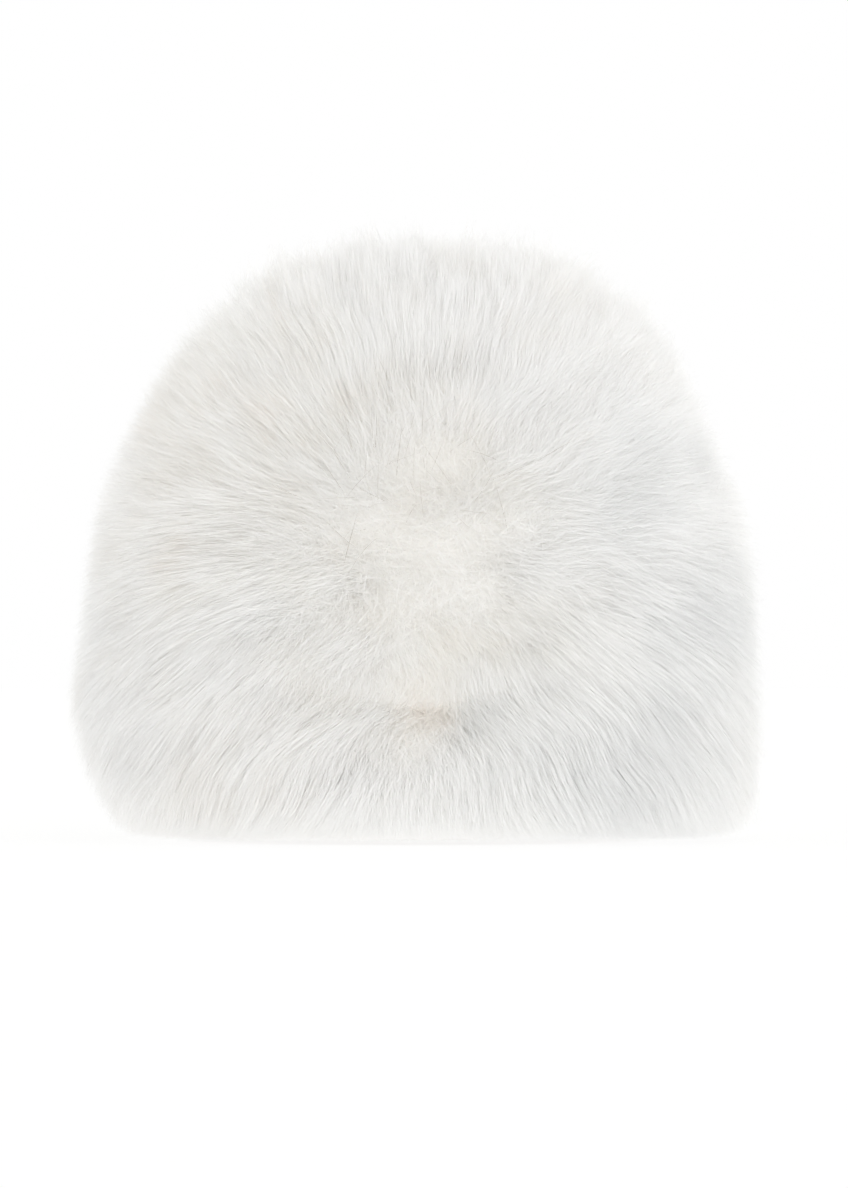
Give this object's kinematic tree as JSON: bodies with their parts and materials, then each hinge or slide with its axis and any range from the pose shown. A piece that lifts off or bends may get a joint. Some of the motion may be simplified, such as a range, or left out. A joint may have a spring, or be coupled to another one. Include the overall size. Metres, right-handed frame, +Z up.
{
  "type": "fur winter hat",
  "caption": "White deep-fur winter hat, a rounded crown above a band of fur that stands on its rim, hollow inside for the head.",
  "frame": {"origin": "on the surface the hat stands on, below the middle of its box", "axes": "+Z up through the crown, -Y to the front of the hat, +X to the right as the front is seen"},
  "size_m": [0.28, 0.2989, 0.2459],
  "materials": {
    "white_fur": "deep soft white fur, slightly warmer and darker between the locks",
    "pelt_leather": "soft matt suede, the skin side of the pelt"
  },
  "bodies": {
    "root": {"crown_pelt": "pelt_leather", "band_pelt": "pelt_leather", "crown_fur": "white_fur", "band_fur": "white_fur"}
  },
  "joints": []
}
